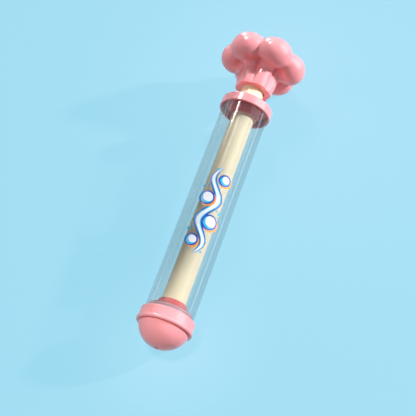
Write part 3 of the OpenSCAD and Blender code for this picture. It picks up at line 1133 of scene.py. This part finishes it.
@dataclass
class PetalKnob:
    """The six-petal knob: fluted skirt, crown and cap button. Millimetres and degrees.

    The steps are numbers of points: of the lower shell on its wall, fillet and petal, of
    the upper shell on its petal and fillet.
    """

    petals: int = 6
    petal_r: float = 14.2
    crease_r: float = 10.9
    crease_under: float = 9.0
    ring_r: float = 29.0
    crease_soft: float = 1.2
    skirt_r: float = 18.0
    skirt_dip: float = 1.6
    neck_r: float = 20.0
    neck_dip: float = 3.4
    neck_fillet: float = 5.0
    wall: float = 2.2
    floor: float = 2.5
    front: float = 278.57
    middle: float = 312.87
    dish: float = 322.27
    dish_fillet: float = 3.0
    mouth_r: float = 11.6
    mouth_round: float = 0.3
    rim_round: float = 0.6
    button_hole: float = 10.0
    button_r: float = 12.5
    button_rise: float = 3.0
    button_wall: float = 1.5
    button_round: float = 0.25
    fit: float = 0.1
    per_petal: int = 60
    crowding: float = 1.4
    lower_steps: tuple[int, int, int] = (16, 18, 44)
    lower_inner_steps: tuple[int, int, int] = (7, 8, 16)
    upper_steps: tuple[int, int] = (44, 16)
    upper_inner_steps: tuple[int, int] = (16, 8)
    mouth_steps: int = 5
    rim_steps: int = 7
    button_steps: int = 24
    turn: Array = field(init=False, repr=False)
    bulge: Array = field(init=False, repr=False)
    bulge_mid: Array = field(init=False, repr=False)
    under: Array = field(init=False, repr=False)
    under_mid: Array = field(init=False, repr=False)
    neck: Array = field(init=False, repr=False)
    rim: Array = field(init=False, repr=False)

    def __post_init__(self) -> None:
        """Work out the petals, the neck and the rim in every direction round the axis.

        The share is 1 in a petal's middle and falls with the square of the sine of the
        angle to 0 in the creases. The petals' middles lie at the ring's radius times the
        cosine of that angle, and neck and rim dip in step with the share.
        """
        self.turn = self.directions()
        off = self.petal_off()
        share = 1 - (np.sin(off) / math.sin(math.pi / self.petals)) ** 2
        self.bulge = self.section(self.crease_r, share)
        self.bulge_mid = (self.ring_r * np.cos(off))[:, None]
        self.under = self.section(self.crease_under, share)
        self.under_mid = self.bulge_mid + self.bulge - self.under
        self.neck = (self.neck_r - self.neck_dip * (1 - share))[:, None]
        self.rim = (self.skirt_r - self.skirt_dip * (1 - share))[:, None]

    def build(self) -> None:
        """Make the skirt, the crown and the button, and dress the sleeve and screw."""
        settle(self.skirt(), PINK, Body.PLUNGER, Slot.PINK, "knob_skirt")
        settle(self.crown(), PINK, Body.PLUNGER, Slot.PINK, "knob_crown")
        settle(self.button(), PINK, Body.PLUNGER, Slot.PINK, "knob_button")
        dress("knob_sleeve", PINK)
        dress("knob_screw", STEEL)

    def directions(self) -> Array:
        """Angles round the axis, closer together at the creases.

        Within a petal the angle is half a petal times (k u - (k - 1) u cubed), for u
        from -1 to 1, where k is the crowding.

        Returns:
            Angles in radians.
        """
        step = 2 * math.pi / self.petals
        u = np.linspace(-1.0, 1.0, self.per_petal, endpoint=False)
        local = 0.5 * step * (self.crowding * u - (self.crowding - 1) * u**3)
        return (np.arange(self.petals)[:, None] * step + local).ravel()

    def petal_off(self) -> Array:
        """Angle from the nearest petal's middle, eased by a hyperbola at the creases.

        Returns:
            Angles in radians.
        """
        step = 2 * math.pi / self.petals
        soft = math.radians(self.crease_soft)
        from_crease = 0.5 * step - np.abs(self.turn - step * np.round(self.turn / step))
        far = math.hypot(0.5 * step, soft)
        return 0.5 * step * (far - np.hypot(from_crease, soft)) / (far - soft)

    def section(self, at_crease: float, share: Array) -> Array:
        """Radius of the petals' section in every direction.

        Its square runs from the crease's to the petal's in step with the share.

        Args:
            at_crease: The radius in the creases.
            share: 0 in the creases, 1 in the middle of the petals.

        Returns:
            The radii as a column.
        """
        return np.sqrt(at_crease**2 + (self.petal_r**2 - at_crease**2) * share)[:, None]

    @staticmethod
    def sweep(mid: tuple[Any, Any], radius: Any, start: Any, stop: Any, steps: int) -> Array:
        """Arcs in every direction at once: middle plus radius times (cos, sin) of a steady turn.

        Args:
            mid: Radius and place of the arcs' middles, as columns or numbers.
            radius: Their radii.
            start: Their first angles in radians.
            stop: Their last angles.
            steps: Points on each arc.

        Returns:
            Points by direction and step.
        """
        turn = start + (stop - start) * np.linspace(0.0, 1.0, steps)[None]
        out, along = mid[0] + radius * np.cos(turn), mid[1] + radius * np.sin(turn)
        return np.stack(np.broadcast_arrays(out, along), -1)

    def lower(self, inset: float, start: Any, steps: tuple[int, int, int]) -> Array:
        """Section of the lower shell: a flared wall, a fillet into the petals, and the petals' lower half.

        The wall's radius is the neck's less (neck - rim) times (1 - u) squared. The fillet
        touches the wall and the petals' arc, so its middle lies the sum of both radii from
        the petals' middle.

        Args:
            inset: How far the section is moved inwards.
            start: Place of its lower end.
            steps: Points on the wall, the fillet and the petal.

        Returns:
            Points by direction and place on the section.
        """
        fillet = self.neck_fillet + inset
        under, neck, rim = self.under - inset, self.neck - inset, self.rim - inset
        reach = self.under_mid - neck - fillet
        mid = (neck + fillet, self.middle - np.sqrt((under + fillet) ** 2 - reach**2))
        turn = np.arctan2(mid[1] - self.middle, mid[0] - self.under_mid)
        u = np.linspace(0.0, 1.0, steps[0], endpoint=False)[None]
        wall = np.stack([neck - (neck - rim) * (1 - u) ** 2, start + u * (mid[1] - start)], -1)
        bend = self.sweep(mid, fillet, math.pi, turn + math.pi, steps[1])
        petal = self.sweep((self.under_mid, self.middle), under, turn, 0.0, steps[2])
        return np.concatenate([wall, bend, petal[:, 1:]], 1)

    def upper(self, inset: float, steps: tuple[int, int]) -> Array:
        """Section of the upper shell: the petals' upper half and a fillet into the flat dish.

        Args:
            inset: How far the section is moved inwards.
            steps: Points on the petal and the fillet.

        Returns:
            Points by direction and place on the section.
        """
        bulge, fillet = self.bulge - inset, self.dish_fillet + inset
        rise = self.dish + self.dish_fillet - self.middle
        mid_r = self.bulge_mid - np.sqrt((bulge + fillet) ** 2 - rise**2)
        mid = (mid_r, self.middle + rise)
        turn = np.arctan2(rise, mid_r - self.bulge_mid)
        petal = self.sweep((self.bulge_mid, self.middle), bulge, 0.0, turn, steps[0])
        bend = self.sweep(mid, fillet, turn - math.pi, -0.5 * math.pi, steps[1])
        return np.concatenate([petal, bend[:, 1:]], 1)

    def across(self, *points: tuple[float, float]) -> Array:
        """The same section points in every direction."""
        return np.broadcast_to(np.array(points, float), (len(self.turn), len(points), 2))

    def skirt(self) -> bpy.types.Object:
        """The skirt: rounded mouth, flat underside, rounded scalloped rim, lower section, inner face.

        Returns:
            The object.
        """
        small, start = self.mouth_round, self.front + self.rim_round
        mouth = arc((self.mouth_r + small, self.front + small), small, 180.0, 270.0, self.mouth_steps)
        rim_mid = (self.rim - self.rim_round, start)
        rim = self.sweep(rim_mid, self.rim_round, -0.5 * math.pi, 0.0, self.rim_steps)
        floor = self.front + self.floor
        loop = [
            self.across(*mouth[:, :2]),
            rim[:, :-1],
            self.lower(0.0, start, self.lower_steps),
            self.lower(self.wall, floor, self.lower_inner_steps)[:, ::-1],
            self.across((self.mouth_r, floor)),
        ]
        return closed_shell("fluted_skirt", round_about(np.concatenate(loop, 1), self.turn))

    def crown(self) -> bpy.types.Object:
        """The crown: upper section, flat dish with a rounded button hole, inner face.

        Returns:
            The object.
        """
        small = self.mouth_round
        hole = arc((self.button_hole + small, self.dish - small), small, 90.0, 180.0, self.mouth_steps)
        loop = [
            self.upper(0.0, self.upper_steps),
            self.across(*hole[:, :2], (self.button_hole, self.dish - self.wall)),
            self.upper(self.wall, self.upper_inner_steps)[:, ::-1],
        ]
        return closed_shell("petal_crown", round_about(np.concatenate(loop, 1), self.turn))

    def button(self) -> bpy.types.Object:
        """The button: a ball arc for its crown, a lip on the dish, a hollow stem in the hole.

        The ball's radius is (radius squared plus rise squared) over twice the rise.

        Returns:
            The object.
        """
        ball_r = (self.button_r**2 + self.button_rise**2) / (2 * self.button_rise)
        mid = (0.0, self.dish + self.button_rise - ball_r)
        edge = math.degrees(math.acos(self.button_r / ball_r))
        stem = self.button_hole - self.fit
        bore = stem - self.button_wall
        top = self.dish + self.button_rise - self.button_wall
        foot = self.dish - self.wall
        crown = arc(mid, ball_r, 90.0, edge, self.button_steps)
        crown[0, 0] = 0.0
        crown[-1, 2] = self.button_round
        return turned_cap("cap_button", np.vstack([
            crown,
            [(stem, self.dish, CRISP), (stem, foot, EDGE), (bore, foot, FINE), (bore, top, FINE),
             (0.0, top, 0.0)],
        ]))


# Studio


class Casts(Enum):
    """What a lamp gives: plain light, or a reflection in glossy surfaces."""

    LIGHT = (True, False)
    GLOSS = (False, True)


@dataclass(frozen=True)
class Lamp:
    """A round area lamp, hung in a direction from a point of the toy's axis that it faces.

    The point is its place on the axis; it, the distance and the width are in metres, the
    power in watts, and the spread of the beam in degrees.
    """

    name: str
    casts: Casts
    way: tuple[float, float, float]
    distance: float
    width: float
    watts: float
    colour: Colour = (1.0, 0.99, 0.97)
    faces: float = 0.313
    spread: float = 180.0


@dataclass
class Studio:
    """Floor, lamps, surroundings and camera. Metres, degrees and pixels of the photograph's frame."""

    frame_px: int = 416
    focal_px: float = 1082.2
    sensor: float = 36.0
    distance: float = 1.0130
    tilt: float = 24.43
    around: float = 15.2
    roll: float = 20.459
    swing: float = 0.165
    aim: tuple[float, float, float] = (0.0, 0.150, 0.0)
    shift_right: float = 0.00086
    shift_up: float = 0.00538
    floor_reach: float = 4.0
    floor_colour: Colour = (0.364, 0.8, 1.0)
    floor_bounce: Colour = (0.62, 0.5, 0.48)
    floor_steady: float = 0.87
    bead_touch: tuple[float, float] = (0.02067, -0.0266)
    petal_touch: tuple[float, float] = (0.31287, -0.0400)
    lamps: tuple[Lamp, ...] = (
        Lamp("sun", Casts.LIGHT, (0.823, 0.423, 0.380), 2.0, 0.12, 54.0, colour=(0.98, 0.99, 1.06)),
        Lamp("knob_lamp", Casts.LIGHT, (-0.30, 0.62, 0.72), 0.6, 0.18, 0.105, spread=36.0),
        Lamp(
            "knob_fill", Casts.LIGHT, (-0.72, -0.24, 0.65), 0.6, 0.2, 0.026,
            colour=(1.0, 0.88, 0.88), spread=25.0,
        ),
        Lamp(
            "nozzle_lamp", Casts.LIGHT, (-0.12, 0.03, 1.0), 0.6, 0.1, 0.023,
            faces=0.011, spread=13.0,
        ),
        Lamp("soft_box", Casts.GLOSS, (0.83, 0.44, 0.35), 1.6, 1.5, 20.0),
        Lamp("high_glint", Casts.GLOSS, (-0.40, 0.52, 0.755), 2.0, 0.34, 26.0),
        Lamp("low_glint", Casts.GLOSS, (-0.53, 0.83, 0.18), 2.0, 0.3, 17.0),
    )
    ambient: Colour = (1.06, 0.81, 0.75)
    ambient_strength: float = 0.24

    def build(self) -> None:
        """Make the floor, the lamps, the surroundings and the camera."""
        self.lay_floor()
        for lamp in self.lamps:
            self.hang(lamp)
        self.surround()
        self.shoot()
        bpy.context.scene.view_settings.view_transform = "Standard"

    def lay_floor(self) -> None:
        """Lay a flat floor that touches the nozzle's bead and the two lower petals."""
        (bead_y, bead_z), (petal_y, petal_z) = self.bead_touch, self.petal_touch
        slope = (petal_z - bead_z) / (petal_y - bead_y)
        side = np.array([-1.0, 1.0, 1.0, -1.0]) * self.floor_reach
        along = np.array([-1.0, -1.0, 1.0, 1.0]) * self.floor_reach
        points = np.stack([side, along, bead_z + slope * (along - bead_y)], 1) / MM
        floor = mesh_object("floor", points, [np.array([[0, 1, 2, 3]])])
        paint = FloorPaint("floor_paint", self.floor_colour, self.floor_bounce, self.floor_steady)
        floor.data.materials.append(paint.material())

    def hang(self, lamp: Lamp) -> None:
        """Hang a lamp in its direction from the toy, facing it.

        Args:
            lamp: The lamp.
        """
        light = bpy.data.lights.new(lamp.name, "AREA")
        light.shape = "DISK"
        light.size = lamp.width
        light.spread = math.radians(lamp.spread)
        light.energy = lamp.watts
        light.color = lamp.colour
        made = bpy.data.objects.new(lamp.name, light)
        way = Vector(lamp.way).normalized()
        made.location = Vector((0.0, lamp.faces, 0.0)) + way * lamp.distance
        made.rotation_euler = way.to_track_quat("Z", "Y").to_euler()
        made.visible_camera = False
        made.visible_diffuse, made.visible_glossy = lamp.casts.value
        bpy.context.scene.collection.objects.link(made)

    def surround(self) -> None:
        """Give even pale light from all round, behind which the camera sees the floor's colour."""
        world = bpy.data.worlds.new("pale_surroundings")
        world.use_nodes = True
        graph = Graph(world.node_tree, "ShaderNodeOutputWorld")
        seen = graph.in_sight()
        colour = graph.blend(seen, self.ambient, self.floor_colour)
        strength = self.ambient_strength + (1.0 - self.ambient_strength) * seen
        graph.finish(graph.out("ShaderNodeBackground", {}, {"Color": colour, "Strength": strength}))
        bpy.context.scene.world = world

    def shoot(self) -> None:
        """Set the camera of the photograph.

        Its axes come from the toy's: turned about the axis by around, tipped towards the
        nozzle by tilt, and rolled in the picture by roll. The focal length in pixels of
        the square frame gives the lens.
        """
        about, tip = math.radians(self.around), math.radians(self.tilt)
        roll, swing = math.radians(self.roll), math.radians(self.swing)
        axis = Vector((0.0, 1.0, 0.0))
        facing = Vector((math.sin(about), 0.0, math.cos(about)))
        right = (axis.cross(facing) + math.sin(swing) * axis).normalized()
        up = math.cos(tip) * axis + math.sin(tip) * facing
        up = (up - up.dot(right) * right).normalized()
        back = right.cross(up)
        spot = Vector(self.aim) + back * self.distance - right * self.shift_right - up * self.shift_up
        across = math.cos(roll) * right + math.sin(roll) * up
        above = math.cos(roll) * up - math.sin(roll) * right
        camera = bpy.data.cameras.new("photo_camera")
        camera.sensor_width = self.sensor
        camera.lens = self.focal_px / self.frame_px * self.sensor
        made = bpy.data.objects.new("photo_camera", camera)
        turn = Matrix((across, above, back)).transposed()
        made.matrix_world = Matrix.Translation(spot) @ turn.to_4x4()
        bpy.context.scene.collection.objects.link(made)
        bpy.context.scene.camera = made


def main() -> None:
    """Build and dress every sub-assembly, then the studio."""
    logging.basicConfig(level=logging.INFO, format="%(message)s")
    for assembly in (Barrel(), Nozzle(), Piston(), PushRod(), PetalKnob(), Studio()):
        LOG.info("building %s", type(assembly).__name__)
        assembly.build()


if __name__ == "__main__":
    main()
